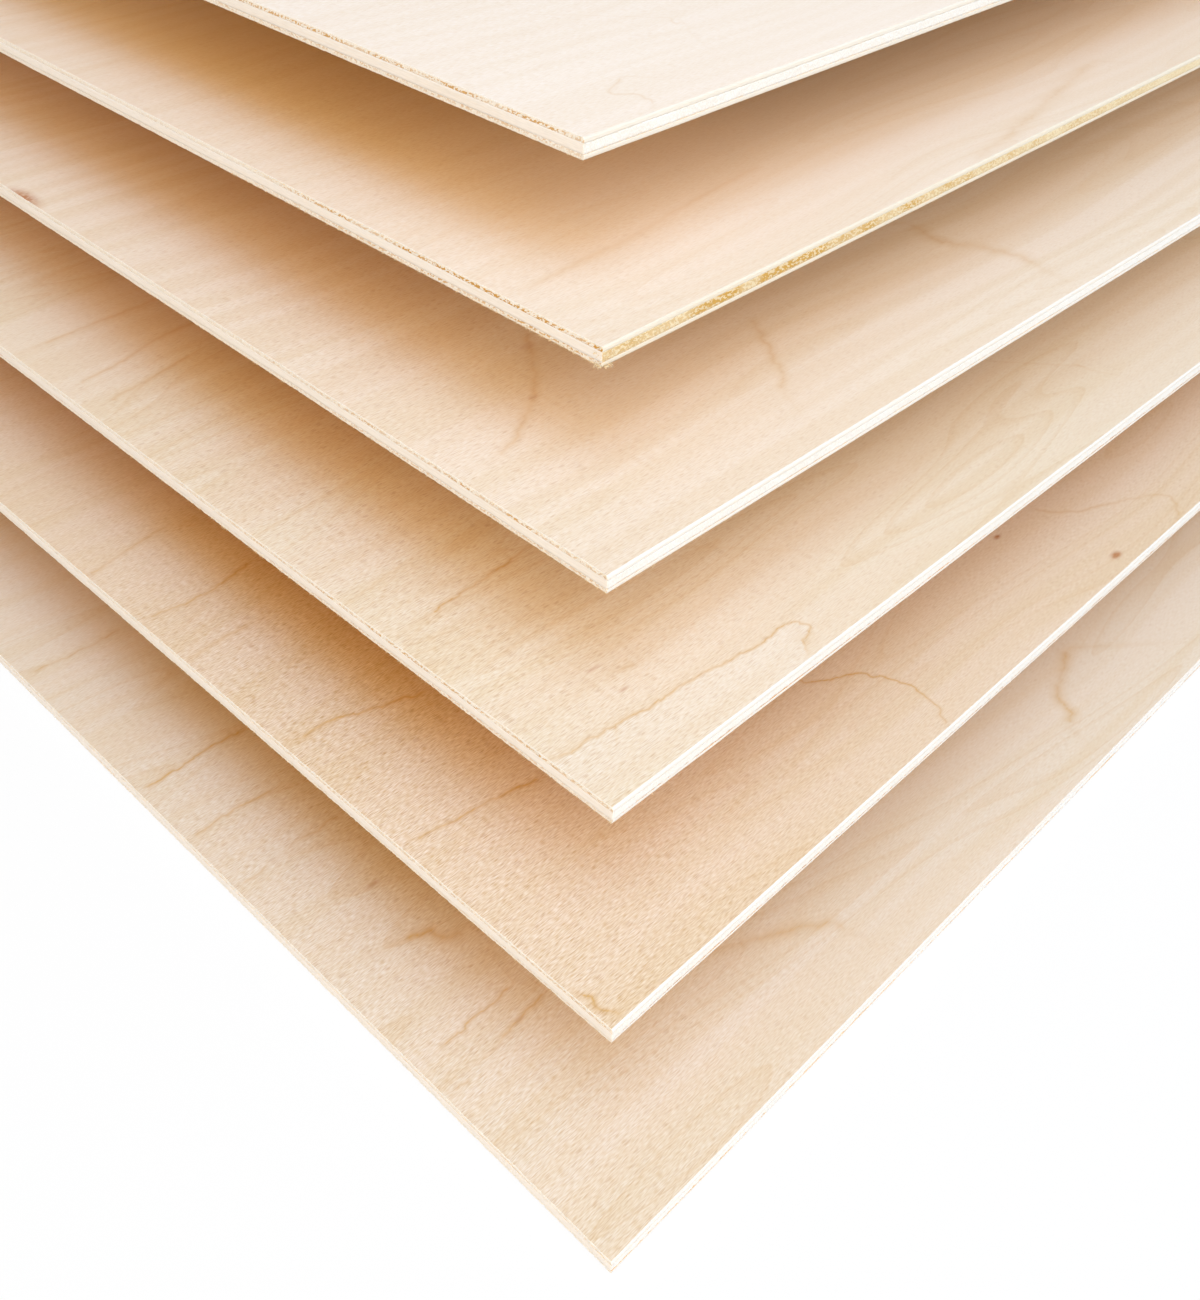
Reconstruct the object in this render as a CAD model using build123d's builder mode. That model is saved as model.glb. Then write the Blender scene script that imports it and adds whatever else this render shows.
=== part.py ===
from build123d import *
import os

# Six thin sheets of three-ply plywood, lying level one above another on narrow
# softwood battens, so that air passes between them. Each sheet lies a little
# further back than the one below it, and the near edges make a stair.
# Sheets are numbered from the top down. Millimetres, Z up, and the origin is
# in the middle of the stack's outer box, at floor level.

# One sheet. X is the way the face grain runs, and Y the way the core grain runs.
SHEET_LENGTH = 305.0
SHEET_WIDTH = 305.0
FACE_PLY = 0.75
CORE_PLY = 1.5
BACK_PLY = 0.75

# Sanding rounds the arrises that run with the face grain. The arrises across
# the grain stay crisp from the saw.
EASED_ARRIS = 0.3

# How far each sheet is set back from the one below it, from the top down, and
# how far each sheet is turned about its near corner, in degrees
STEP_X = (9.0, 14.0, 14.0, 13.0, 14.0)
STEP_Y = (13.0, 15.5, 15.5, 13.5, 14.5)
TURNS = (0.0, 0.2, -0.5, 0.0, 0.3, 0.0)

# Battens lie along Y, in two columns that stand within the area that all the
# sheets share. The insets are from the edges of that area, and are deep enough
# to hide the battens from someone who looks down on the near corner.
BATTEN_WIDTH = 20.0
BATTEN_HEIGHT = 18.0
BATTEN_CHAMFER = 1.0
SIDE_INSET = 45.0
NEAR_INSET = 40.0
FAR_INSET = 8.0

sheet_numbers = range(1, len(TURNS) + 1)
sheet_thickness = FACE_PLY + CORE_PLY + BACK_PLY
storey = sheet_thickness + BATTEN_HEIGHT


def underside(number):
    """The height of a sheet's underside."""
    return (len(TURNS) - number) * storey


def sheet_plane(number, height=0.0, middle=Vector(0, 0, 0)):
    """A level plane at a height in a sheet, from its near corner and turned with it."""
    corner = Vector(sum(STEP_X[number - 1:]), sum(STEP_Y[number - 1:]), underside(number) + height)
    return Plane(origin=corner - middle, z_dir=(0, 0, 1)).rotated((0, 0, TURNS[number - 1]))


def corner_points(number):
    """A sheet's corners: near, far along Y, far along X, and opposite the near one."""
    plane = sheet_plane(number)
    return [
        plane.from_local_coords(Vector(x, y, 0))
        for x in (0, SHEET_LENGTH)
        for y in (0, SHEET_WIDTH)
    ]


# The outer box of all the sheets gives the middle of the stack
corners = [corner_points(number) for number in sheet_numbers]
outline = [point for sheet in corners for point in sheet]
middle_x = (min(point.X for point in outline) + max(point.X for point in outline)) / 2
middle_y = (min(point.Y for point in outline) + max(point.Y for point in outline)) / 2
stack_middle = Vector(middle_x, middle_y, 0)

# The rectangle that lies inside every sheet, which the battens keep to
shared_left = max(max(near.X, left.X) for near, left, right, far in corners) - middle_x
shared_right = min(min(right.X, far.X) for near, left, right, far in corners) - middle_x
shared_near = max(max(near.Y, right.Y) for near, left, right, far in corners) - middle_y
shared_far = min(min(left.Y, far.Y) for near, left, right, far in corners) - middle_y

os.makedirs("parts", exist_ok=True)


def make_ply(name, plane, thickness, eased_face=None):
    """One veneer. Its long-grain arrises are rounded on the top face or underside."""
    with BuildPart() as ply:
        with BuildSketch(plane):
            Rectangle(SHEET_LENGTH, SHEET_WIDTH, align=(Align.MIN, Align.MIN))
        extrude(amount=thickness)
        if eased_face:
            along_grain = ply.edges().filter_by(Axis(plane.origin, plane.x_dir))
            arrises = along_grain.group_by(Axis.Z)[-1 if eased_face == "top" else 0]
            fillet(arrises, radius=min(EASED_ARRIS, thickness / 2))
    ply.part.label = name
    export_step(ply.part, f"parts/{name}.step")


for number in sheet_numbers:
    back_plane = sheet_plane(number, 0, stack_middle)
    core_plane = sheet_plane(number, BACK_PLY, stack_middle)
    face_plane = sheet_plane(number, BACK_PLY + CORE_PLY, stack_middle)
    make_ply(f"sheet_{number}_back", back_plane, BACK_PLY, "underside")
    make_ply(f"sheet_{number}_core", core_plane, CORE_PLY)
    make_ply(f"sheet_{number}_face", face_plane, FACE_PLY, "top")


def make_batten(name, left_side, height):
    """One batten on the sheet whose top face is at this height, with eased long edges."""
    near_end = shared_near + NEAR_INSET
    batten_length = shared_far - FAR_INSET - near_end
    with BuildPart() as batten:
        with BuildSketch(Plane(origin=(left_side, near_end, height), z_dir=(0, 0, 1))):
            Rectangle(BATTEN_WIDTH, batten_length, align=(Align.MIN, Align.MIN))
        extrude(amount=BATTEN_HEIGHT)
        chamfer(batten.edges().filter_by(Axis.Y), length=BATTEN_CHAMFER)
    batten.part.label = name
    export_step(batten.part, f"parts/{name}.step")


for number in sheet_numbers[:-1]:
    gap_floor = underside(number) - BATTEN_HEIGHT
    make_batten(f"batten_{number}_left", shared_left + SIDE_INSET, gap_floor)
    make_batten(f"batten_{number}_right", shared_right - SIDE_INSET - BATTEN_WIDTH, gap_floor)
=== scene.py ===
import math

import bmesh
import bpy
import numpy as np
from mathutils import Matrix, Vector
from mathutils.geometry import delaunay_2d_cdt


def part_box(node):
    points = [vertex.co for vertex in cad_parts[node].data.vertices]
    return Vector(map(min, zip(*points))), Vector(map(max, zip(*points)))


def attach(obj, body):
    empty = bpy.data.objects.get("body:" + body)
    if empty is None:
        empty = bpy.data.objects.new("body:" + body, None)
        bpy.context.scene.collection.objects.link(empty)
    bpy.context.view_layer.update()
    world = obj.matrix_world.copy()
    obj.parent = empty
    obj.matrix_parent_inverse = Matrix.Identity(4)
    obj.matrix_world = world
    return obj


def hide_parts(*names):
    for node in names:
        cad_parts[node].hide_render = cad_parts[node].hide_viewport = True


# A stack of six three-ply sheets, numbered from the top down. Blender works in
# metres, and the sizes of small detail here are in millimetres, times MM.
MM = 0.001
SHEETS = range(1, 7)
PLIES = ("back", "core", "face")

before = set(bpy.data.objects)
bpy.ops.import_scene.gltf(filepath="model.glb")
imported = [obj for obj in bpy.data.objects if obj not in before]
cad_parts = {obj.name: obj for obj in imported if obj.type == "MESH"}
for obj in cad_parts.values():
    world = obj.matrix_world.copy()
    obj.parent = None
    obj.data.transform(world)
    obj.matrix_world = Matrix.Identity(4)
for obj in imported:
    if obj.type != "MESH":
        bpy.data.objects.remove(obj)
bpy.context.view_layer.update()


# Camera: where it stands from the top sheet's near corner, and how it looks
CAMERA_FROM_CORNER = Vector((-121.75, -119.11, 65.77)) * MM
CAMERA_YAW = math.radians(42.804)
CAMERA_DOWN = math.radians(41.943)
CAMERA_ROLL = math.radians(2.346)
CAMERA_CLIP = 5 * MM
PHOTO_SIZE = (1200, 1300)
FOCAL_PIXELS = 1343.8
SENSOR_MM = 36.0


class Sheet:
    """Where one sheet lies, read from its CAD plies. Lengths are in millimetres."""

    def __init__(self, number):
        corners = [v.co.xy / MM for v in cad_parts[f"sheet_{number}_core"].data.vertices]
        near = min(corners, key=lambda p: p.x + p.y)
        right = max(corners, key=lambda p: p.x - p.y)
        left = max(corners, key=lambda p: p.y - p.x)
        self.number = number
        self.near = near
        self.length = (right - near).length
        self.width = (left - near).length
        self.turn = math.atan2(right.y - near.y, right.x - near.x)
        boxes = [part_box(f"sheet_{number}_{ply}") for ply in PLIES]
        self.floor = boxes[0][0].z / MM
        self.levels = {
            ply: (low.z / MM - self.floor, high.z / MM - self.floor)
            for ply, (low, high) in zip(PLIES, boxes)
        }

    def matrix(self):
        """From the sheet's own frame, near corner at zero and grain along X, to the stack's."""
        place = Vector((self.near.x, self.near.y, self.floor)) * MM
        return Matrix.Translation(place) @ Matrix.Rotation(self.turn, 4, "Z")


sheets = {number: Sheet(number) for number in SHEETS}


def make_camera():
    """The photograph's camera."""
    top = sheets[1]
    corner = Vector((top.near.x, top.near.y, top.floor + top.levels["face"][1])) * MM
    ahead = Vector((
        math.cos(CAMERA_YAW) * math.cos(CAMERA_DOWN),
        math.sin(CAMERA_YAW) * math.cos(CAMERA_DOWN),
        -math.sin(CAMERA_DOWN),
    ))
    level = ahead.to_track_quat("-Z", "Y").to_matrix()
    data = bpy.data.cameras.new("camera")
    data.sensor_width = SENSOR_MM
    data.lens = SENSOR_MM * FOCAL_PIXELS / max(PHOTO_SIZE)
    data.clip_start = CAMERA_CLIP
    camera = bpy.data.objects.new("camera", data)
    turn = (level @ Matrix.Rotation(CAMERA_ROLL, 3, "Z")).to_4x4()
    camera.matrix_world = Matrix.Translation(corner + CAMERA_FROM_CORNER) @ turn
    bpy.context.scene.collection.objects.link(camera)
    bpy.context.scene.camera = camera
    return camera


camera = make_camera()
bpy.context.scene.view_settings.view_transform = "Standard"


def photo_point(x, y, sheet):
    """A pixel of the photograph on a sheet's top face, in the sheet's own millimetres."""
    right = x - PHOTO_SIZE[0] / 2
    up = PHOTO_SIZE[1] / 2 - y
    ray = camera.matrix_world.to_3x3() @ Vector((right, up, -FOCAL_PIXELS))
    start = camera.matrix_world.translation / MM
    height = sheet.floor + sheet.levels["face"][1]
    hit = start + ray * ((height - start.z) / ray.z)
    return sheet.matrix().inverted() @ (hit * MM) / MM


# Light: the room's own light, and soft lamps at one distance from the point they aim at
AMBIENT = 0.356
AMBIENT_COLOUR = (1.25, 1.0, 0.66, 1.0)
LAMP_DISTANCE = 0.95
LAMP_AIM = Vector((-0.12, -0.12, 0.05))
COOL = (0.64, 1.0, 1.43)
WARM = (1.32, 1.0, 0.56)
# Name, watts, size in metres, colour, azimuth and elevation in degrees
LAMPS = (
    ("key", 2.72, (0.55, 0.80), COOL, -80, 33),
    ("front", 3.05, (0.60, 0.60), WARM, -135, 38),
    ("side", 0.55, (0.40, 0.40), (0.80, 1.0, 1.30), 160, 22),
    ("overhead", 3.72, (0.70, 0.70), (0.65, 1.0, 1.50), -120, 74),
)


def make_lamp(name, watts, size, colour, azimuth, elevation):
    """A broad soft lamp that the camera doesn't see, turned towards the near corners."""
    data = bpy.data.lights.new(name, "AREA")
    data.shape = "RECTANGLE"
    data.size, data.size_y = size
    data.energy = watts
    data.color = colour
    lamp = bpy.data.objects.new(name, data)
    azimuth, elevation = math.radians(azimuth), math.radians(elevation)
    way = Vector((
        math.cos(azimuth) * math.cos(elevation),
        math.sin(azimuth) * math.cos(elevation),
        math.sin(elevation),
    ))
    lamp.location = LAMP_AIM + way * LAMP_DISTANCE
    lamp.rotation_mode = "QUATERNION"
    lamp.rotation_quaternion = (-way).to_track_quat("-Z", "Y")
    lamp.visible_camera = False
    bpy.context.scene.collection.objects.link(lamp)


def looked_at(nodes, links):
    """One where a ray comes from the camera, straight or by a reflection or through glass."""
    path = nodes.new("ShaderNodeLightPath")
    total = path.outputs["Is Camera Ray"]
    for name in ("Is Glossy Ray", "Is Transmission Ray"):
        larger = nodes.new("ShaderNodeMath")
        larger.operation = "MAXIMUM"
        links.new(total, larger.inputs[0])
        links.new(path.outputs[name], larger.inputs[1])
        total = larger.outputs[0]
    return total


def make_lights():
    """A pale room that the camera sees as white, and the lamps."""
    world = bpy.data.worlds.new("room")
    bpy.context.scene.world = world
    world.use_nodes = True
    nodes, links = world.node_tree.nodes, world.node_tree.links
    nodes.clear()
    seen = nodes.new("ShaderNodeBackground")
    seen.inputs["Color"].default_value = (1, 1, 1, 1)
    lit = nodes.new("ShaderNodeBackground")
    lit.inputs["Color"].default_value = AMBIENT_COLOUR
    lit.inputs["Strength"].default_value = AMBIENT
    pick = nodes.new("ShaderNodeMixShader")
    out = nodes.new("ShaderNodeOutputWorld")
    links.new(looked_at(nodes, links), pick.inputs[0])
    links.new(lit.outputs[0], pick.inputs[1])
    links.new(seen.outputs[0], pick.inputs[2])
    links.new(pick.outputs[0], out.inputs[0])
    for lamp in LAMPS:
        make_lamp(*lamp)


FLOOR_HALF = 3.0
FLOOR_DROP = 0.2 * MM
FLOOR_MATT = (0.9, 0.9, 0.9, 1.0)
# The share of plain white in the floor where it is looked at. The rest keeps the shadow.
FLOOR_WHITE = 0.92


def make_floor():
    """A white floor that keeps a faint shadow of the stack."""
    mesh = bpy.data.meshes.new("floor")
    corners = [
        (x * FLOOR_HALF, y * FLOOR_HALF, -FLOOR_DROP)
        for x, y in ((-1, -1), (1, -1), (1, 1), (-1, 1))
    ]
    mesh.from_pydata(corners, [], [(0, 1, 2, 3)])
    floor = bpy.data.objects.new("floor", mesh)
    bpy.context.scene.collection.objects.link(floor)
    material = bpy.data.materials.new("floor_white")
    material.use_nodes = True
    nodes, links = material.node_tree.nodes, material.node_tree.links
    nodes.clear()
    matt = nodes.new("ShaderNodeBsdfDiffuse")
    matt.inputs["Color"].default_value = FLOOR_MATT
    glow = nodes.new("ShaderNodeEmission")
    share = nodes.new("ShaderNodeMath")
    share.operation = "MULTIPLY"
    share.inputs[1].default_value = FLOOR_WHITE
    pick = nodes.new("ShaderNodeMixShader")
    out = nodes.new("ShaderNodeOutputMaterial")
    links.new(looked_at(nodes, links), share.inputs[0])
    links.new(share.outputs[0], pick.inputs[0])
    links.new(matt.outputs[0], pick.inputs[1])
    links.new(glow.outputs[0], pick.inputs[2])
    links.new(pick.outputs[0], out.inputs[0])
    mesh.materials.append(material)


make_lights()
make_floor()


# Bare wood shines less than varnish
SHINE = 0.3
# The Mix node's sockets for colours
MIX_FACTOR, MIX_FIRST, MIX_SECOND, MIX_RESULT = 0, 6, 7, 2
# How far apart in their noise two materials lie, and two patterns of one material
SEED_SHIFT = 7.3
SALT_SHIFT = 31.7


class Wood:
    """Short calls for building a wood material. Patterns are placed in millimetres, along
    the object's own axes, and X runs with the face grain."""

    def __init__(self, name, seed):
        self.material = bpy.data.materials.new(name)
        self.material.use_nodes = True
        self.nodes = self.material.node_tree.nodes
        self.links = self.material.node_tree.links
        self.shader = self.nodes["Principled BSDF"]
        self.seed = seed
        coordinates = self.nodes.new("ShaderNodeTexCoord")
        self.place = self.vector("SCALE", coordinates.outputs["Object"], scale=1 / MM)
        self.x, self.y, self.z = self.parts(self.place)

    def put(self, socket, value):
        """Links another node's output to a socket, or sets the socket to a plain value."""
        if isinstance(value, bpy.types.NodeSocket):
            self.links.new(value, socket)
        else:
            socket.default_value = value

    def vector(self, operation, a, b=None, scale=None):
        """A calculation on one vector, with another vector or a scale."""
        node = self.nodes.new("ShaderNodeVectorMath")
        node.operation = operation
        self.put(node.inputs[0], a)
        if b is not None:
            self.put(node.inputs[1], b)
        if scale is not None:
            self.put(node.inputs["Scale"], scale)
        return node.outputs[0]

    def math(self, operation, a, b=0.0, c=0.0, clamp=False):
        """A calculation on up to three values, kept from 0 to 1 by clamp."""
        node = self.nodes.new("ShaderNodeMath")
        node.operation = operation
        node.use_clamp = clamp
        for socket, value in zip(node.inputs, (a, b, c)):
            self.put(socket, value)
        return node.outputs[0]

    def times(self, first, *others):
        """The product of all the values."""
        for other in others:
            first = self.math("MULTIPLY", first, other)
        return first

    def parts(self, vector):
        """The X, Y and Z of a vector."""
        node = self.nodes.new("ShaderNodeSeparateXYZ")
        self.put(node.inputs[0], vector)
        return node.outputs[0], node.outputs[1], node.outputs[2]

    def joined(self, x, y, z):
        """The vector that has these parts."""
        node = self.nodes.new("ShaderNodeCombineXYZ")
        for socket, value in zip(node.inputs, (x, y, z)):
            self.put(socket, value)
        return node.outputs[0]

    def noise(self, place, stretch, detail=0.0, roughness=0.5, salt=0):
        """Smooth noise, with stretch as features per millimetre along X, Y and, if given, Z."""
        node = self.nodes.new("ShaderNodeTexNoise")
        node.noise_dimensions = f"{len(stretch)}D"
        scaled = self.vector("MULTIPLY", place, (*stretch, 0.0)[:3])
        shift = SEED_SHIFT * self.seed + SALT_SHIFT * salt
        self.put(node.inputs["Vector"], self.vector("ADD", scaled, (shift, -shift, 2 * shift)))
        node.inputs["Scale"].default_value = 1.0
        node.inputs["Detail"].default_value = detail
        node.inputs["Roughness"].default_value = roughness
        return node.outputs["Fac"]

    def ramp(self, value, *stops):
        """A value bent through stops of (position, value)."""
        node = self.nodes.new("ShaderNodeValToRGB")
        ramp = node.color_ramp
        while len(ramp.elements) < len(stops):
            ramp.elements.new(0.5)
        for element, (position, level) in zip(ramp.elements, stops):
            element.position = position
            element.color = (level, level, level, 1)
        self.put(node.inputs[0], value)
        return node.outputs[0]

    def fade(self, value, start, end, first=0.0, last=1.0):
        """Runs smoothly from first to last as the value goes from start to end."""
        node = self.nodes.new("ShaderNodeMapRange")
        node.interpolation_type = "SMOOTHSTEP"
        for socket, number in zip(node.inputs, (value, start, end, first, last)):
            self.put(socket, number)
        return node.outputs[0]

    def mix(self, factor, a, b, kind="MIX"):
        """Two colours mixed by a factor, or blended in another way."""
        node = self.nodes.new("ShaderNodeMix")
        node.data_type = "RGBA"
        node.blend_type = kind
        self.put(node.inputs[MIX_FACTOR], factor)
        self.put(node.inputs[MIX_FIRST], a)
        self.put(node.inputs[MIX_SECOND], b)
        return node.outputs[MIX_RESULT]

    def attribute(self, name):
        """The value that a mesh holds at its points under this name."""
        node = self.nodes.new("ShaderNodeAttribute")
        node.attribute_name = name
        return node.outputs["Fac"]

    def finish(self, colour, roughness, height=None, bump=0.0, depth=0.0):
        """Sets colour and roughness and, where it has a height, a relief as deep as depth, in
        millimetres."""
        self.put(self.shader.inputs["Base Color"], colour)
        self.put(self.shader.inputs["Roughness"], roughness)
        self.put(self.shader.inputs["Specular IOR Level"], SHINE)
        if height is None:
            return self.material
        node = self.nodes.new("ShaderNodeBump")
        node.inputs["Strength"].default_value = bump
        node.inputs["Distance"].default_value = depth * MM
        self.put(node.inputs["Height"], height)
        self.links.new(node.outputs[0], self.shader.inputs["Normal"])
        return self.material


def rgb(red, green, blue):
    """A colour written as it looks, 0 to 255, as the linear value that nodes take."""
    def linear(value):
        share = value / 255
        return share / 12.92 if share <= 0.04045 else ((share + 0.055) / 1.055) ** 2.4
    return linear(red), linear(green), linear(blue), 1.0


# Colours of the bare veneers: plain, and paler beside a growth line; streaks and clouds; pores,
# growth lines and knots
CREAM = rgb(242, 226, 207)
PALE = rgb(245, 233, 217)
TAN = rgb(229, 202, 160)
PINK = rgb(242, 221, 200)
PORE = rgb(190, 142, 92)
GROWTH = rgb(212, 163, 84)
KNOT = rgb(180, 104, 34)
# How much the grain darkens red, green and blue: its hollows are brown
GRAIN_SHADE = (0.6, 1.0, 1.7)


# Patterns of a face, as features per millimetre along the grain and across it
SWAY = (0.014, 0.022)
STREAKS = (0.008, 0.32)
CLOUDS = (0.012, 0.09)
FIBRES = (1.0, 6.0)
PORES = (0.55, 6.0)
# How many growth lines the clouds' noise would draw over its whole range, and how each one darkens
LINE_LEVELS = 9.0
LINE_RAMP = ((0.0, 0.0), (0.6, 0.0), (0.96, 1.0), (1.0, 0.0))
# Grain and pores are sharpest by the near corner, and fade rightward and leftward, in millimetres:
# from where, to where, and how strong they are at each
SHARP_RIGHT = (-40.0, 85.0, 1.0, 0.38)
SHARP_LEFT = (70.0, 160.0, 1.0, 0.45)
RIGHTWARD_SLANT = -0.6
GRAIN_LEVEL = 0.55
GRAIN_DEPTH = 0.28
# Where the painted shade, a darker golden tint under the sheet above, fades in from the left edge,
# from the near corner and from the far end, in millimetres
PAINTED_SHADE_EDGE = (10.0, 23.0)
PAINTED_SHADE_NEAR = (25.0, 75.0)
PAINTED_SHADE_FAR = (165.0, 115.0)


def face_wood(name, seed, tint, streaks, lines, pores, grain, wander, painted_shade=None):
    """A sanded rotary-cut face, with the grain along X: soft streaks that wander so many
    millimetres, growth lines and fine pores. The painted shade is a darker, golden tint painted on the
    part that lies under the sheet above, on the left, where that sheet's shade falls."""
    w = Wood(name, seed)
    sway = w.noise(w.place, SWAY, salt=1)
    bent = w.joined(w.x, w.math("MULTIPLY_ADD", sway, wander, w.y), 0.0)
    streak = w.fade(w.noise(bent, STREAKS, salt=2), 0.34, 0.68)
    wide = w.noise(bent, CLOUDS, salt=3)
    cloud = w.fade(wide, 0.40, 0.66)
    line = w.ramp(w.math("FRACT", w.times(wide, LINE_LEVELS)), *LINE_RAMP)
    line = w.times(line, w.fade(wide, 0.60, 0.42), lines)
    fibre = w.noise(w.place, FIBRES, salt=4)
    fleck = w.fade(w.noise(w.place, PORES, salt=5), 0.60, 0.74)
    rightward = w.math("MULTIPLY_ADD", w.y, RIGHTWARD_SLANT, w.x)
    sharp = w.times(w.fade(rightward, *SHARP_RIGHT), w.fade(w.y, *SHARP_LEFT))
    fleck = w.times(fleck, sharp, pores)

    colour = w.mix(w.times(streak, streaks), tint, TAN)
    colour = w.mix(w.times(cloud, streaks), colour, PINK)
    blotch = w.math("MULTIPLY_ADD", fibre, 1.3, 0.3)
    drawn = w.times(w.attribute("figure"), blotch)
    colour = w.mix(w.math("ADD", line, drawn, clamp=True), colour, GROWTH)
    colour = w.mix(w.times(w.attribute("tone"), 0.6), colour, PALE)
    colour = w.mix(fleck, colour, PORE)
    colour = w.mix(w.times(w.attribute("knot"), blotch), colour, KNOT)
    shade = w.times(w.math("SUBTRACT", fibre, GRAIN_LEVEL), sharp, GRAIN_DEPTH * grain)
    shaded = w.joined(*(w.math("MULTIPLY_ADD", shade, share, 1.0) for share in GRAIN_SHADE))
    colour = w.mix(1.0, colour, shaded, "MULTIPLY")
    # Painted shade: the part under the sheet above, on the left, is tinted darker and more golden where
    # that sheet's shade falls
    if painted_shade:
        under = w.times(w.fade(w.x, *PAINTED_SHADE_EDGE), w.fade(w.y, *PAINTED_SHADE_NEAR), w.fade(w.y, *PAINTED_SHADE_FAR))
        colour = w.mix(under, colour, (*painted_shade, 1.0), "MULTIPLY")
    return w.finish(colour, w.fade(fibre, 0.2, 0.8, 0.62, 0.52))


# Where a veneer's other tint comes in, as millimetres further along Y than along X: on the
# undersides, the deeper orange that is painted shade for the gaps on the left
LEFTWARD = (5.0, 70.0)
# Roughness of plain wood and smooth edges, and of torn ones
PLAIN_ROUGHNESS = 0.6
TORN_ROUGHNESS = 0.75


def plain_wood(name, seed, tint, left=None):
    """A veneer's unseen side: a plain tint with soft streaks along the grain, which is X. The left
    part of the sheet may take another tint: on the undersides a deeper orange, painted shade that
    warms the gaps below by the light it throws back."""
    w = Wood(name, seed)
    # Painted shade: the undersides' left tint is a deeper orange that darkens and warms the gaps below
    if left:
        tint = w.mix(w.fade(w.math("SUBTRACT", w.y, w.x), *LEFTWARD), tint, left)
    streak = w.noise(w.place, (0.05, 1.2), salt=1)
    colour = w.mix(1.0, tint, w.fade(streak, 0.3, 0.7, 1.04, 0.93), "MULTIPLY")
    return w.finish(colour, PLAIN_ROUGHNESS)


EDGE_CREAM = rgb(252, 245, 235)
EDGE_BROWN = rgb(214, 162, 82)
EDGE_WHITE = rgb(250, 246, 240)
EDGE_GOLD = rgb(206, 158, 70)
EDGE_STRAW = rgb(244, 228, 194)


def long_edge_wood(name, seed, tint):
    """The sawn edge of a veneer whose grain runs with that edge: smooth, with long fine streaks."""
    w = Wood(name, seed)
    fibre = w.noise(w.place, (0.06, 0.06, 4.0), detail=1.0, salt=1)
    fine = w.noise(w.place, (0.7, 0.7, 11.0), salt=2)
    colour = w.mix(w.fade(fibre, 0.4, 0.75, 0.0, 0.14), tint, TAN)
    colour = w.mix(1.0, colour, w.fade(fine, 0.25, 0.75, 0.96, 1.02), "MULTIPLY")
    return w.finish(colour, PLAIN_ROUGHNESS, w.math("ADD", fibre, fine), bump=0.25, depth=0.03)


# How far a band of dark marks fades out above and below, in millimetres, how far its vessels lean,
# and the share of the marks that is left at the end of their reach
BAND_FADE = 0.12
VESSEL_LEAN = 0.7
FAR_MARKS = 0.12


def end_edge_wood(name, seed, brown, band, reach, tint=EDGE_CREAM, dark=EDGE_BROWN,
                  cover=0.5, ground=0.0, patchy=0.5):
    """The sawn end grain of a veneer: torn, with vessels as short dark marks across the ply. The
    marks lie in a band of heights, and fade towards reach from the near corner. Cover is how much
    of the band they take up, ground the share of the dark colour between them, and patchy how far
    they come and go along the edge."""
    w = Wood(name, seed)
    patch = w.fade(w.noise(w.place, (0.16, 0.16, 0.1), salt=1), 0.34, 0.60)
    patch = w.math("MULTIPLY_ADD", patch, patchy, 1.0 - patchy)
    slant_x = w.math("MULTIPLY_ADD", w.z, VESSEL_LEAN, w.x)
    slant_y = w.math("MULTIPLY_ADD", w.z, VESSEL_LEAN, w.y)
    slant = w.joined(slant_x, slant_y, w.z)
    vessel = w.noise(slant, (1.7, 1.7, 2.2), detail=1.0, roughness=0.7, salt=2)
    mark = w.fade(vessel, 0.59 - 0.24 * cover, 0.67 - 0.24 * cover)
    fine = w.noise(w.place, (6.0, 6.0, 3.5), salt=3)
    low, high = band
    above_low = w.fade(w.z, low - BAND_FADE, low + BAND_FADE)
    below_high = w.fade(w.z, high - BAND_FADE, high + BAND_FADE, 1.0, 0.0)
    inside = w.times(above_low, below_high)
    amount = w.times(w.math("MAXIMUM", mark, ground), patch, inside, brown)
    along = w.math("MAXIMUM", w.x, w.y)
    amount = w.times(amount, w.fade(along, 0.3 * reach, reach, 1.0, FAR_MARKS))
    colour = w.mix(w.math("MINIMUM", amount, 1.0), tint, dark)
    colour = w.mix(1.0, colour, w.fade(fine, 0.25, 0.75, 0.93, 1.04), "MULTIPLY")
    relief = w.math("SUBTRACT", w.times(fine, 0.5), w.times(amount, 0.6))
    return w.finish(colour, TORN_ROUGHNESS, relief, bump=0.4, depth=0.05)


# Width of the square of random values that a plane of noise repeats
LATTICE = 256


def value_noise(x, y, seed):
    """Smooth random values from 0 to 1 over a plane, with a new value at each whole number."""
    lattice = np.random.default_rng(seed).random((LATTICE, LATTICE))
    column, row = np.floor(x).astype(int), np.floor(y).astype(int)
    across, up = x - column, y - row
    across, up = across * across * (3 - 2 * across), up * up * (3 - 2 * up)

    def at(i, j):
        return lattice[(column + i) % LATTICE, (row + j) % LATTICE]

    low = at(0, 0) * (1 - across) + at(1, 0) * across
    high = at(0, 1) * (1 - across) + at(1, 1) * across
    return low * (1 - up) + high * up


# Spacing of the points along a sheet's edges, in millimetres: fine up to a reach from the near
# corner, coarser beyond it, and coarser again on the two far sides
FINE_REACH = 110.0
FINE_STEP = 0.25
MIDDLE_STEP = 0.5
FAR_STEP = 1.2

# The sides of a sheet, round from its near corner, and the way outward from each. RIGHT runs
# along X from the near corner, and LEFT along Y back to it.
RIGHT, AWAY, BEYOND, LEFT = range(4)
OUTWARD = {RIGHT: (0, -1), AWAY: (1, 0), BEYOND: (0, 1), LEFT: (-1, 0)}


def near_spacing(length):
    """Distances from the near corner along a side that starts there."""
    fine = np.arange(0, FINE_REACH, FINE_STEP)
    count = int((length - FINE_REACH) / MIDDLE_STEP)
    rest = np.linspace(FINE_REACH, length, count, endpoint=False)
    return np.concatenate([fine, rest])


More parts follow.
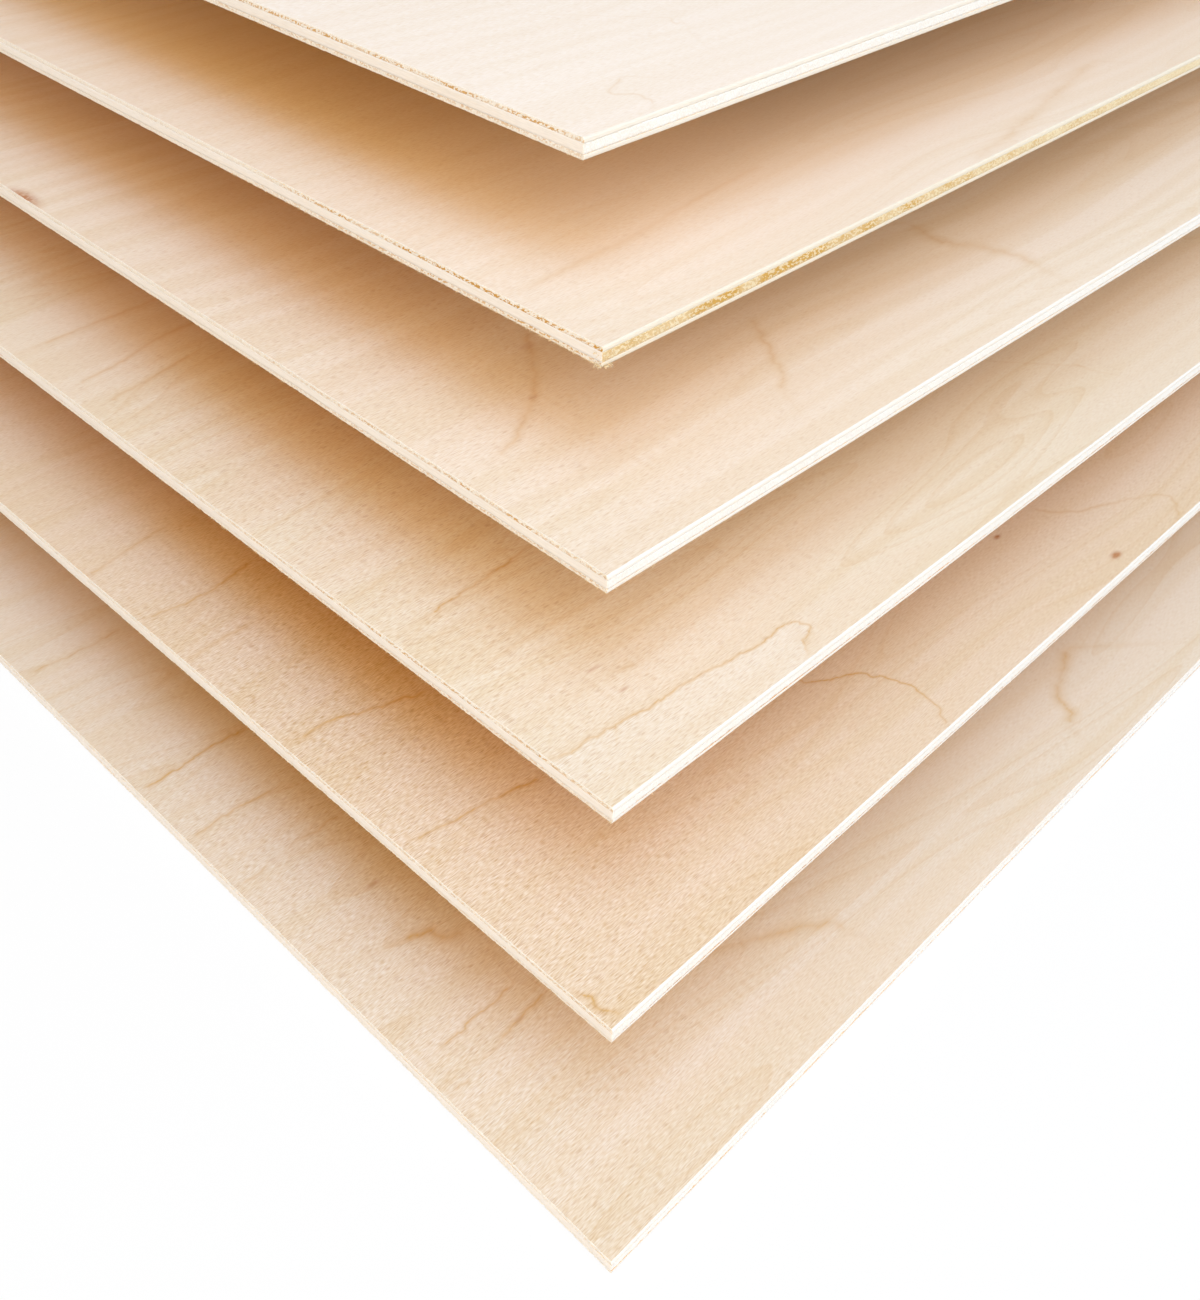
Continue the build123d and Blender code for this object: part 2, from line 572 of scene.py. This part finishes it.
def edge_points(sheet):
    """Points round a sheet: their places, the ways outward and the sides, in millimetres."""
    long, wide = sheet.length, sheet.width
    along = near_spacing(long)
    homeward = np.append(near_spacing(wide)[1:], wide)[::-1]
    far_long = np.linspace(0, long, int(long / FAR_STEP), endpoint=False)
    far_wide = np.linspace(0, wide, int(wide / FAR_STEP), endpoint=False)
    rounds = {
        RIGHT: np.column_stack([along, np.zeros_like(along)]),
        AWAY: np.column_stack([np.full_like(far_wide, long), far_wide]),
        BEYOND: np.column_stack([long - far_long, np.full_like(far_long, wide)]),
        LEFT: np.column_stack([np.zeros_like(homeward), homeward]),
    }
    normals, sides = [], []
    for side, points in rounds.items():
        normal = np.tile(np.array(OUTWARD[side], float), (len(points), 1))
        # The first point of a side is a corner, which faces outward on both its sides
        normal[0] += OUTWARD[(side - 1) % 4]
        normals.append(normal)
        sides.append(np.full(len(points), side))
    return np.concatenate(list(rounds.values())), np.concatenate(normals), np.concatenate(sides)


# Relief of the sawn edges, in millimetres: depth of the pits and radius of the eased arris, on
# edges that run across the grain and along it
END_ROUGH = 0.16
LONG_ROUGH = 0.03
END_ARRIS = 0.06
LONG_ARRIS = 0.28
# Pits, fine pits and slow waves, as features per millimetre along the edge and up it
PITS = (2.4, 2.2)
FINE_PITS = (6.5, 5.0)
WAVES = (0.15, 0.2)
WAVE_DEPTH = 0.05


def eased(arris, turn):
    """How far a point on an eased arris lies below the flat face, and inside the flat edge."""
    angle = math.radians(turn)
    return arris * (1 - math.sin(angle)), arris * (1 - math.cos(angle))


def ply_profile(ply, low, high, arris):
    """The rows up a veneer's edge: their heights, and how far an eased arris sets each one in."""
    def plain(*shares):
        flat = np.zeros_like(arris)
        return [(flat + (low + (high - low) * share), flat) for share in shares]

    if ply == "face":
        rows = plain(0.0, 0.2, 0.4, 0.6)
        for turn in (0, 45, 90):
            drop, inset = eased(arris, turn)
            rows.append((high - drop, inset))
    elif ply == "back":
        rows = []
        for turn in (90, 45, 0):
            rise, inset = eased(arris, turn)
            rows.append((low + rise, inset))
        rows += plain(0.65, 0.8, 1.0)
    else:
        rows = plain(0.0, 0.2, 0.4, 0.6, 0.8, 1.0)
    heights, insets = zip(*rows)
    return np.array(heights), np.array(insets)


def ply_rows(sheet, ply, seed):
    """The rows of points up the edge of one veneer, as an array of rows by points by XYZ, and
    whether the grain runs with the edge at each point."""
    places, normals, sides = edge_points(sheet)
    with_grain = np.isin(sides, (LEFT, AWAY) if ply == "core" else (RIGHT, BEYOND))
    arris = np.where(with_grain, LONG_ARRIS, END_ARRIS)
    rough = np.where(with_grain, LONG_ROUGH, END_ROUGH)
    heights, insets = ply_profile(ply, *sheet.levels[ply], arris)

    along = np.tile(places[:, 0] - places[:, 1], (len(heights), 1))
    pits = value_noise(along * PITS[0], heights * PITS[1], seed) ** 2
    fine_pits = value_noise(along * FINE_PITS[0], heights * FINE_PITS[1], seed + 1) ** 2
    wave = value_noise(along * WAVES[0], heights * WAVES[1], seed + 2)
    inset = insets + rough * (0.6 * pits + 0.4 * fine_pits) + WAVE_DEPTH * wave
    points = np.empty((*heights.shape, 3))
    points[..., 0] = places[:, 0] - normals[:, 0] * inset
    points[..., 1] = places[:, 1] - normals[:, 1] * inset
    points[..., 2] = heights
    return points, with_grain


# How far the plain loop of a face lies inside its edges, the spacing of its points, and how far
# inside the edges the points of growth lines and spots stay, in millimetres
CAP_MARGIN = 0.9
CAP_STEP = 1.5
FIGURE_MARGIN = 1.2 * CAP_MARGIN


def cap_loop(sheet):
    """A plain loop just inside a sheet's edges, which keeps the middle of its face flat."""
    low, long, wide = CAP_MARGIN, sheet.length - CAP_MARGIN, sheet.width - CAP_MARGIN
    across = np.linspace(low, long, int(sheet.length / CAP_STEP), endpoint=False)
    up = np.linspace(low, wide, int(sheet.width / CAP_STEP), endpoint=False)
    return np.concatenate([
        np.column_stack([across, np.full_like(across, low)]),
        np.column_stack([np.full_like(up, long), up]),
        np.column_stack([long + low - across, np.full_like(across, wide)]),
        np.column_stack([np.full_like(up, low), wide + low - up]),
    ])


# Growth lines with a larger half-width than this, in millimetres, are soft stains with no dark
# middle
BROAD = 1.0


class GrowthLine:
    """A growth line of the photograph, as the pixels along it. Half-width and glow are in
    millimetres, and the glow is a paler tone on the line's near side."""

    def __init__(self, strength, half_width, *pixels, glow=0.0):
        self.strength = strength
        self.half_width = half_width
        self.pixels = pixels
        self.glow = glow


class Spot:
    """A knot or stain, at a pixel of the photograph, with radii in millimetres along and across
    the grain."""

    def __init__(self, strength, pixel, along, across):
        self.strength = strength
        self.pixel = pixel
        self.along = along
        self.across = across


GROWTH_LINES = {
    1: (
        GrowthLine(0.24, 0.59, (670, 18), (676, 24), (682, 22), (688, 31)),
        GrowthLine(0.28, 0.59, (624, 76), (612, 92), (630, 94), (645, 97), (655, 110)),
    ),
    2: (
        GrowthLine(0.22, 1.5, (522, 293), (576, 263), (622, 242), (693, 201), (760, 165)),
        GrowthLine(0.24, 2.8, (976, 158), (1017, 128), (1055, 94), (1093, 61)),
    ),
    3: (
        GrowthLine(0.36, 1.5, (527, 330), (533, 366), (535, 387), (533, 402), (520, 425), (510, 445),
                   (489, 463)),
        GrowthLine(0.34, 1.6, (750, 318), (767, 343), (775, 361), (783, 377), (780, 392)),
        GrowthLine(0.36, 3.0, (910, 224), (943, 242), (979, 247), (1012, 255), (1045, 268)),
    ),
    4: (
        GrowthLine(0.62, 0.52, (553, 762), (589, 740), (622, 722), (658, 702), (696, 676), (729, 661),
                   (767, 638), (783, 625), (800, 624), (810, 628), (805, 641), (810, 654), glow=9.0),
        GrowthLine(0.4, 2.6, (796, 630), (803, 642), (806, 655)),
        GrowthLine(0.7, 0.8, (545, 540), (525, 550), (497, 570), (464, 591), (430, 615)),
        GrowthLine(0.34, 1.2, (40, 345), (90, 325), (140, 305), (175, 290)),
        GrowthLine(0.4, 1.2, (78, 385), (120, 362), (165, 335), (205, 318)),
        GrowthLine(0.34, 1.2, (108, 402), (150, 378), (200, 350)),
        GrowthLine(0.32, 0.68, (1068, 366), (1080, 366), (1093, 371)),
        GrowthLine(0.4, 0.85, (612, 672), (624, 668), (640, 660)),
    ),
    5: (
        GrowthLine(0.72, 0.56, (790, 676), (800, 680), (820, 682), (856, 674), (884, 678), (910, 687),
                   (925, 694), (938, 705), (945, 717), (953, 728)),
        GrowthLine(0.4, 0.85, (1030, 509), (1073, 512), (1106, 504), (1157, 495), (1175, 502), (1178, 519)),
        GrowthLine(0.75, 0.8, (408, 842), (451, 822), (484, 804), (522, 786), (543, 779)),
        GrowthLine(0.75, 0.8, (296, 740), (332, 720), (370, 710), (400, 700), (432, 690)),
        GrowthLine(0.7, 0.9, (143, 619), (186, 603), (214, 588), (252, 562)),
        GrowthLine(0.36, 1.2, (75, 583), (112, 560), (150, 536), (170, 524)),
        GrowthLine(0.36, 1.2, (182, 664), (220, 640), (262, 618)),
        GrowthLine(1.05, 0.9, (569, 991), (580, 997), (591, 996), (599, 1007), (612, 1013), (625, 1023)),
    ),
    6: (
        GrowthLine(0.75, 0.85, (140, 791), (179, 768), (217, 743), (245, 730)),
        GrowthLine(0.56, 0.85, (189, 840), (230, 812), (262, 796), (281, 784)),
        GrowthLine(0.48, 0.68, (237, 888), (270, 865)),
        GrowthLine(0.48, 0.85, (298, 840), (329, 822), (345, 808)),
        GrowthLine(0.48, 0.77, (26, 674), (60, 660), (89, 646), (122, 628)),
        GrowthLine(0.6, 0.75, (512, 986), (492, 1003), (464, 1028), (439, 1050)),
        GrowthLine(0.8, 0.9, (547, 991), (522, 1015), (510, 1030), (497, 1045)),
        GrowthLine(0.6, 2.2, (402, 940), (425, 932), (447, 937), (466, 928)),
        GrowthLine(0.4, 0.68, (471, 1073), (456, 1089), (448, 1096)),
        GrowthLine(0.5, 2.2, (1068, 648), (1063, 671), (1058, 697), (1070, 712), (1070, 728)),
        GrowthLine(0.4, 2.2, (735, 945), (790, 930), (830, 925), (860, 935)),
    ),
}

SPOTS = {
    3: (
        Spot(0.32, (533, 397), 1.4, 0.9),
        Spot(0.22, (527, 346), 2.6, 1.6),
        Spot(0.9, (22, 198), 3.2, 8.0),
    ),
    4: (
        Spot(0.45, (624, 689), 1.6, 0.5),
        Spot(0.35, (593, 669), 2.2, 0.5),
    ),
    5: (
        Spot(0.95, (1116, 555), 2.2, 1.2),
        Spot(0.8, (997, 537), 1.5, 0.8),
    ),
    6: (
        Spot(0.3, (519, 1019), 1.3, 0.7),
        Spot(0.5, (373, 884), 2.0, 0.7),
    ),
}


# Spacing of the points along a growth line, in millimetres
LINE_STEP = 0.5


def smooth_line(points):
    """A wavering line through places on a sheet, by cubic spans that pass through each."""
    points = np.array(points, float)
    padded = np.vstack([2 * points[0] - points[1], points, 2 * points[-1] - points[-2]])
    curve = []
    for a, b, c, d in zip(padded, padded[1:], padded[2:], padded[3:]):
        count = max(2, int(np.linalg.norm(c - b) / LINE_STEP))
        t = np.linspace(0, 1, count, endpoint=False)[:, None]
        curve.append(0.5 * (2 * b + (c - a) * t + (2 * a - 5 * b + 4 * c - d) * t**2
                            + (3 * b - a - 3 * c + d) * t**3))
    curve.append(points[-1:])
    curve = np.vstack(curve)
    run = np.arange(len(curve)) * LINE_STEP
    start = np.full(len(curve), points[0, 0])
    jagged = value_noise(run * 0.45, start, 7) + 0.9 * value_noise(run * 1.5, start, 8) - 0.95
    sway = 0.6 * (value_noise(run * 0.7, start, 9) - 0.5)
    sway = sway + 0.4 * (value_noise(run * 1.9, start, 10) - 0.5)
    curve[:, 0] += jagged
    curve[:, 1] += sway
    return curve


def beside(points, offset):
    """A line beside a line of points, offset to its left as it runs."""
    along = np.gradient(points, axis=0)
    along /= np.linalg.norm(along, axis=1)[:, None]
    return points + np.column_stack([-along[:, 1], along[:, 0]]) * offset


def distance_to(line, places):
    """How far each place is from a line of points, and how far to its left, in millimetres."""
    best = np.full(len(places), np.inf)
    left = np.zeros(len(places))
    for a, b in zip(line, line[1:]):
        run = b - a
        share = np.clip(((places - a) @ run) / (run @ run), 0, 1)
        away = places - a - share[:, None] * run
        distance = np.linalg.norm(away, axis=1)
        nearer = distance < best
        best[nearer] = distance[nearer]
        side = np.sign(run[0] * away[:, 1] - run[1] * away[:, 0])
        left[nearer] = (side * distance)[nearer]
    return best, left


# Only one in so many points of a line counts for its strength, which varies by this much above
# its least, and fades over one part in so many at each end, down to a share of itself
POST_EVERY = 4
LEAST_STRENGTH = 0.55
STRENGTH_RANGE = 0.75
END_FADE = 12
END_SHARE = 0.4


def strength_along(line, places):
    """How strong a line of points is beside each place: it comes and goes, and fades at its ends."""
    posts = line[::POST_EVERY]
    post = np.argmin(np.linalg.norm(places[:, None] - posts[None], axis=2), axis=1)
    varied = value_noise(post * 0.45, np.full(len(post), line[0, 0]), 11)
    share = post / max(1, len(posts) - 1)
    fade = np.clip(np.minimum(share, 1 - share) * END_FADE + END_SHARE, 0, 1)
    return (LEAST_STRENGTH + STRENGTH_RANGE * varied) * fade


def spot_frame(spot, sheet):
    """A spot's middle and radii, in the sheet's own millimetres."""
    return np.array(photo_point(*spot.pixel, sheet).xy), np.array((spot.along, spot.across))


# Rows of points beside a growth line, as shares of its half-width and of its glow, and rings of
# points round a spot, as shares of its radii
LINE_ROWS = (0.18, 0.45, 1.0)
GLOW_ROWS = (-1.0, -0.5)
SPOT_RINGS = (0.0, 0.25, 0.5, 0.75, 1.0)
SPOT_POINTS = 20
# Triangles are kept inside the rim, and points closer than this many millimetres are one
INSIDE = 1
SAME_PLACE = 1e-5


def cap_places(sheet, rim, lines):
    """Places for the points of a flat face inside a rim, and the pairs of them that edges join."""
    inner = cap_loop(sheet)
    places = [rim, inner]
    count = len(rim) + len(inner)
    links = [(len(rim) + i, len(rim) + (i + 1) % len(inner)) for i in range(len(inner))]
    for line, points in lines:
        offsets = [0.0]
        for share in LINE_ROWS:
            offsets += [share * line.half_width, -share * line.half_width]
        if line.glow:
            offsets += [share * line.glow for share in GLOW_ROWS]
            offsets.append(-1.2 * line.half_width)
        for offset in offsets:
            row = beside(points, offset)
            kept = row[(row > FIGURE_MARGIN).all(1)]
            places.append(kept)
            links += [(count + i, count + i + 1) for i in range(len(kept) - 1)]
            count += len(kept)
    for spot in SPOTS.get(sheet.number, ()):
        centre, radii = spot_frame(spot, sheet)
        for ring in SPOT_RINGS:
            turns = np.linspace(0, 2 * math.pi, SPOT_POINTS if ring else 1, endpoint=False)
            row = centre + ring * radii * np.column_stack([np.cos(turns), np.sin(turns)])
            places.append(row[(row > FIGURE_MARGIN).all(1)])
    return np.concatenate(places), links


def cap_figure(sheet, places, lines):
    """How dark the growth lines are at each place of a face, how pale their glow, and how dark
    the knots and stains, each from 0 to 1."""
    figure, tone, knot = np.zeros((3, len(places)))
    for line, points in lines:
        distance, left = distance_to(points, places)
        near = np.clip(1 - distance / line.half_width, 0, 1)
        near = near * near if line.half_width > BROAD else 0.45 * near + 0.55 * near**4
        near = near * strength_along(points, places)
        figure = np.maximum(figure, line.strength * near)
        if line.glow:
            inside = (left < -0.5 * line.half_width) & (places[:, 0] < points[:, 0].max())
            tone = np.maximum(tone, np.where(inside, np.clip(1 + left / line.glow, 0, 1), 0))
    for spot in SPOTS.get(sheet.number, ()):
        centre, radii = spot_frame(spot, sheet)
        near = np.clip(1 - np.linalg.norm((places - centre) / radii, axis=1), 0, 1)
        knot = np.maximum(knot, spot.strength * near * near * (3 - 2 * near))
    return figure, tone, knot


def cap_faces(sheet, rim):
    """The flat face inside a rim: its places, its triangles, the values of its figure, and which
    points of the rim its places stand on."""
    lines = [
        (line, smooth_line([photo_point(x, y, sheet).xy for x, y in line.pixels]))
        for line in GROWTH_LINES[sheet.number]
    ]
    places, links = cap_places(sheet, rim, lines)
    loop = [list(range(len(rim)))]
    made = delaunay_2d_cdt([Vector(p) for p in places], links, loop, INSIDE, SAME_PLACE)
    places = np.array([tuple(p) for p in made[0]])
    triangles, origins = made[2], made[3]
    return places, triangles, cap_figure(sheet, places, lines), origins


# The materials of a veneer, in their order on its mesh
SURFACE, LONG_EDGE, END_EDGE, TORN = range(4)


# Torn fibres along the near edges: how many, how far from the near corner in millimetres, how
# long, and whether they stand on the RIGHT or LEFT side, by sheet and ply
SPLINTERS = {
    (1, "face"): ((60, 90, 0.14, LEFT),),
    (1, "back"): ((60, 90, 0.20, LEFT),),
    (2, "face"): ((220, 80, 0.22, LEFT), (5, 1.5, 0.4, LEFT)),
    (2, "core"): ((8, 1.5, 0.5, LEFT), (8, 1.5, 0.5, RIGHT), (30, 70, 0.16, RIGHT)),
    (2, "back"): ((260, 85, 0.32, LEFT), (9, 1.3, 0.8, LEFT), (12, 2.0, 0.8, RIGHT)),
    (3, "face"): ((120, 100, 0.16, LEFT),),
    (3, "back"): ((150, 110, 0.24, LEFT), (18, 40, 0.35, RIGHT)),
    (4, "face"): ((120, 110, 0.16, LEFT),),
    (4, "back"): ((170, 120, 0.26, LEFT), (8, 100, 0.3, RIGHT)),
    (5, "face"): ((90, 110, 0.14, LEFT),),
    (5, "back"): ((120, 120, 0.22, LEFT), (10, 120, 0.25, RIGHT)),
}


# A sliver is two rings of three points, from its root outward, and a tip
SLIVER_FACES = ((0, 1, 4, 3), (1, 2, 5, 4), (2, 0, 3, 5), (3, 4, 6), (4, 5, 6), (5, 3, 6), (2, 1, 0))
SLIVER_ROOT = -0.08
# How far a sliver's middle lies inside the face that it's torn from, in millimetres
SLIVER_INSIDE = 0.12


def sliver_points(along, height, length, thick, lean, drop):
    """A bent pointed sliver, as distances along the edge, outward and up."""
    points = []
    for out, size in ((SLIVER_ROOT, thick), (0.55 * length, 0.6 * thick)):
        share = max(out, 0) / length
        for turn in range(3):
            angle = 2.1 * turn + 0.4
            run = along + lean * length * share + size * math.cos(angle)
            up = height + drop * length * share**2 + size * math.sin(angle)
            points.append((run, out, up))
    points.append((along + lean * length, length, height + drop * length))
    return points


def make_splinters(sheet, ply, seed):
    """Torn fibres on the near edges of a veneer, none above its top: points and faces."""
    rng = np.random.default_rng(seed)
    low, high = sheet.levels[ply]
    points, faces = [], []
    for count, reach, longest, side in SPLINTERS.get((sheet.number, ply), ()):
        for _ in range(count):
            along = reach * rng.random() ** 1.4 + 0.1
            height = high - SLIVER_INSIDE if ply == "face" else low + SLIVER_INSIDE
            if ply == "core":
                height += rng.uniform(0, high - low - 2 * SLIVER_INSIDE)
            else:
                height += rng.normal(0, 0.05)
            length = longest * rng.uniform(0.35, 1.0)
            thick = rng.uniform(0.03, 0.05) + 0.05 * length
            lean, drop = rng.normal(0, 0.6), rng.normal(0.1 if ply == "face" else -0.35, 0.35)
            base = len(points)
            for run, out, up in sliver_points(along, height, length, thick, lean, drop):
                points.append((run, -out, up) if side == RIGHT else (-out, run, up))
            for face in SLIVER_FACES:
                turned = face if side == RIGHT else face[::-1]
                faces.append(tuple(base + i for i in turned))
    points = np.array(points).reshape(-1, 3)
    points[:, 2] = np.minimum(points[:, 2], high)
    return points, faces


# The values that a face's figure sets at each point, which its material reads
FIGURE = ("figure", "tone", "knot")
# Seeds of one veneer's edge and of its splinters differ by this
SPLINTER_SEED = 50


def make_ply(sheet, ply, materials, seed):
    """One veneer as a closed mesh: rough rows up its edges, and flat faces above and below."""
    rows, with_grain = ply_rows(sheet, ply, seed)
    row_count, count = rows.shape[:2]
    last = (row_count - 1) * count
    faces = [
        (r * count + i, r * count + (i + 1) % count, (r + 1) * count + (i + 1) % count, (r + 1) * count + i)
        for r in range(row_count - 1)
        for i in range(count)
    ]
    slots = list(np.tile(np.where(with_grain, LONG_EDGE, END_EDGE), row_count - 1))
    smooth = [True] * len(faces)
    points = rows.reshape(-1, 3)
    marks = np.zeros((len(FIGURE), len(points)))
    if ply == "face":
        places, triangles, cap_marks, origins = cap_faces(sheet, rows[-1][:, :2])
        heights = np.full(len(places), sheet.levels[ply][1])
        index = np.arange(len(places)) + len(points)
        for new, old in enumerate(origins):
            on_rim = [o for o in old if o < count]
            if on_rim:
                index[new] = last + on_rim[0]
        points = np.vstack([points, np.column_stack([places, heights])])
        marks = np.hstack([marks, cap_marks])
        marks[:, index] = cap_marks
        caps = [tuple(int(index[i]) for i in triangle) for triangle in triangles]
    else:
        caps = [tuple(range(last, last + count))]
    caps.append(tuple(reversed(range(count))))
    faces += caps
    slots += [SURFACE] * len(caps)
    smooth += [False] * len(caps)

    slivers, sliver_faces = make_splinters(sheet, ply, seed + SPLINTER_SEED)
    faces += [tuple(len(points) + i for i in face) for face in sliver_faces]
    slots += [TORN] * len(sliver_faces)
    smooth += [True] * len(sliver_faces)
    points = np.vstack([points, slivers])
    marks = np.hstack([marks, np.zeros((len(FIGURE), len(slivers)))])

    mesh = bpy.data.meshes.new(f"veneer_{sheet.number}_{ply}")
    mesh.from_pydata((points * MM).tolist(), [], faces)
    for name, values in zip(FIGURE, marks):
        attribute = mesh.attributes.new(name, "FLOAT", "POINT")
        attribute.data.foreach_set("value", values.astype(np.float32))
    mesh.polygons.foreach_set("material_index", np.array(slots, np.int32))
    mesh.polygons.foreach_set("use_smooth", smooth)
    for material in materials:
        mesh.materials.append(material)
    mesh.update()
    piece = bpy.data.objects.new(mesh.name, mesh)
    bpy.context.scene.collection.objects.link(piece)
    piece.matrix_world = sheet.matrix()
    remove_loose(mesh)
    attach(piece, "root")
    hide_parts(f"sheet_{sheet.number}_{ply}")


def remove_loose(mesh):
    """Takes away the points that no face uses."""
    edit = bmesh.new()
    edit.from_mesh(mesh)
    bmesh.ops.delete(edit, geom=[v for v in edit.verts if not v.link_faces], context="VERTS")
    edit.to_mesh(mesh)
    edit.free()


# How each sheet's face looks: its tint, how strong its streaks, growth lines, pores and grain are,
# how far the streaks wander in millimetres, and the tint of its painted shade under the sheet above
LOOKS = {
    1: dict(tint=rgb(251, 237, 223), streaks=0.10, lines=0.04, pores=0.10, grain=0.6, wander=4.0),
    2: dict(tint=rgb(246, 230, 211), streaks=0.16, lines=0.08, pores=0.15, grain=0.7, wander=5.0,
            painted_shade=(0.98, 0.93, 0.80)),
    3: dict(tint=rgb(246, 230, 210), streaks=0.27, lines=0.08, pores=0.25, grain=0.9, wander=6.0),
    4: dict(tint=rgb(242, 226, 202), streaks=0.30, lines=0.16, pores=0.32, grain=1.2, wander=8.0,
            painted_shade=(1.0, 0.98, 0.88)),
    5: dict(tint=rgb(238, 215, 187), streaks=0.28, lines=0.14, pores=0.36, grain=2.0, wander=9.0,
            painted_shade=(0.96, 0.85, 0.56)),
    6: dict(tint=rgb(238, 221, 199), streaks=0.26, lines=0.16, pores=0.26, grain=1.5, wander=10.0,
            painted_shade=(0.92, 0.83, 0.62)),
}
# Tints of the undersides, by the near corner and rightward, and on the left. Partly the veneer's
# own colour and partly painted shade: they are orange, most of all on the left, so that the light
# they throw back darkens and warms the shade in the gaps below.
UNDERSIDE_AND_SHADE_TINTS = {
    1: (rgb(252, 216, 170), rgb(253, 204, 112)),
    2: (rgb(242, 206, 154), rgb(244, 182, 84)),
    3: (rgb(242, 204, 158), rgb(238, 164, 52)),
    4: (rgb(224, 164, 92), rgb(214, 126, 18)),
    5: (rgb(220, 168, 112), rgb(206, 122, 22)),
    6: (rgb(238, 190, 130), rgb(238, 180, 100)),
}
# Tints of the smooth edges of face and back, which run along X
LONG_TINTS = {
    1: rgb(242, 233, 219), 2: rgb(240, 229, 210), 3: rgb(247, 240, 231),
    4: rgb(248, 242, 234), 5: rgb(248, 242, 235), 6: rgb(246, 238, 230),
}
CORE_LONG_TINT = rgb(253, 247, 241)
TORN_TINT = rgb(252, 230, 190)
# How brown the torn edges of face and back are, along Y, and how far that reaches from the near
# corner, in millimetres. Last, how golden the core's torn edge is, along X.
END_BROWN = {1: 0.9, 2: 1.4, 3: 0.9, 4: 0.85, 5: 0.5, 6: 0.12}
END_REACH = {1: 160, 2: 90, 3: 100, 4: 120, 5: 110, 6: 90}
CORE_GOLD = {1: 0.12, 2: 0.95, 3: 0.07, 4: 0.06, 5: 0.05, 6: 0.05}

# Heights of the brown bands in the edges of face, back and core, in millimetres
FACE_BAND = (2.25, 2.72)
BACK_BAND = (0.3, 0.75)
CORE_BAND = (0.85, 2.15)
CORE_REACH = 200
# The only sheet whose core is golden between its marks too
GOLDEN_SHEET = 2

torn = plain_wood("torn_fibre", 60, TORN_TINT)
for number, sheet in sheets.items():
    face = face_wood(f"face_{number}", number, **LOOKS[number])
    # The underside tints are partly painted shade for the gaps below
    back = plain_wood(f"back_{number}", number + 20, *UNDERSIDE_AND_SHADE_TINTS[number])
    core = plain_wood(f"core_{number}", number + 40, CREAM)
    face_long = long_edge_wood(f"face_long_{number}", number, LONG_TINTS[number])
    core_long = long_edge_wood(f"core_long_{number}", number + 10, CORE_LONG_TINT)
    brown, reach = END_BROWN[number], END_REACH[number]
    face_end = end_edge_wood(f"face_end_{number}", number, brown, FACE_BAND, reach)
    back_end = end_edge_wood(f"back_end_{number}", number + 60, 0.6 * brown, BACK_BAND, reach)
    pale = EDGE_STRAW if number == GOLDEN_SHEET else EDGE_WHITE
    core_end = end_edge_wood(f"core_end_{number}", number + 10, CORE_GOLD[number], CORE_BAND, CORE_REACH,
                             tint=pale, dark=EDGE_GOLD, cover=0.7, ground=0.3, patchy=0.45)
    make_ply(sheet, "face", (face, face_long, face_end, torn), 100 * number + 1)
    make_ply(sheet, "core", (core, core_long, core_end, torn), 100 * number + 2)
    make_ply(sheet, "back", (back, face_long, back_end, torn), 100 * number + 3)


SOFTWOOD = rgb(228, 200, 154)
LATE_WOOD = rgb(190, 138, 82)
# The heart of the tree lies beside and below a batten, in millimetres from its middle, and a
# little further for each next batten
HEART_BESIDE = 19.0
HEART_BELOW = -14.0
RINGS_PER_MM = 0.42
RING_SWAY = 2.5


def batten_wood(name, node, seed):
    """Planed softwood with growth rings about an axis that runs beside the batten."""
    low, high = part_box(node)
    middle = (low + high) / 2 / MM
    w = Wood(name, seed)
    sway = w.noise(w.place, (0.02, 0.006, 0.02), salt=1)
    dx = w.math("ADD", w.x, -middle.x + HEART_BESIDE + 3.0 * (seed % 3))
    dz = w.math("ADD", w.z, -middle.z + HEART_BELOW + 9.0 * (seed % 2))
    radius = w.math("SQRT", w.math("ADD", w.times(dx, dx), w.times(dz, dz)))
    rings = w.math("FRACT", w.math("MULTIPLY_ADD", sway, RING_SWAY, w.times(radius, RINGS_PER_MM)))
    late = w.ramp(rings, (0.0, 0.0), (0.75, 0.35), (0.93, 1.0), (1.0, 0.0))
    fibre = w.noise(w.place, (5.0, 0.1, 5.0), salt=2)
    colour = w.mix(w.times(late, 0.6), SOFTWOOD, LATE_WOOD)
    colour = w.mix(1.0, colour, w.ramp(fibre, (0.25, 0.92), (0.75, 1.04)), "MULTIPLY")
    return w.finish(colour, PLAIN_ROUGHNESS, fibre, bump=0.5, depth=0.06)


for number in list(SHEETS)[:-1]:
    for place, side in enumerate(("left", "right")):
        node = f"batten_{number}_{side}"
        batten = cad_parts[node]
        batten.data.materials.clear()
        batten.data.materials.append(batten_wood(f"softwood_{number}_{side}", node, 2 * number + place))
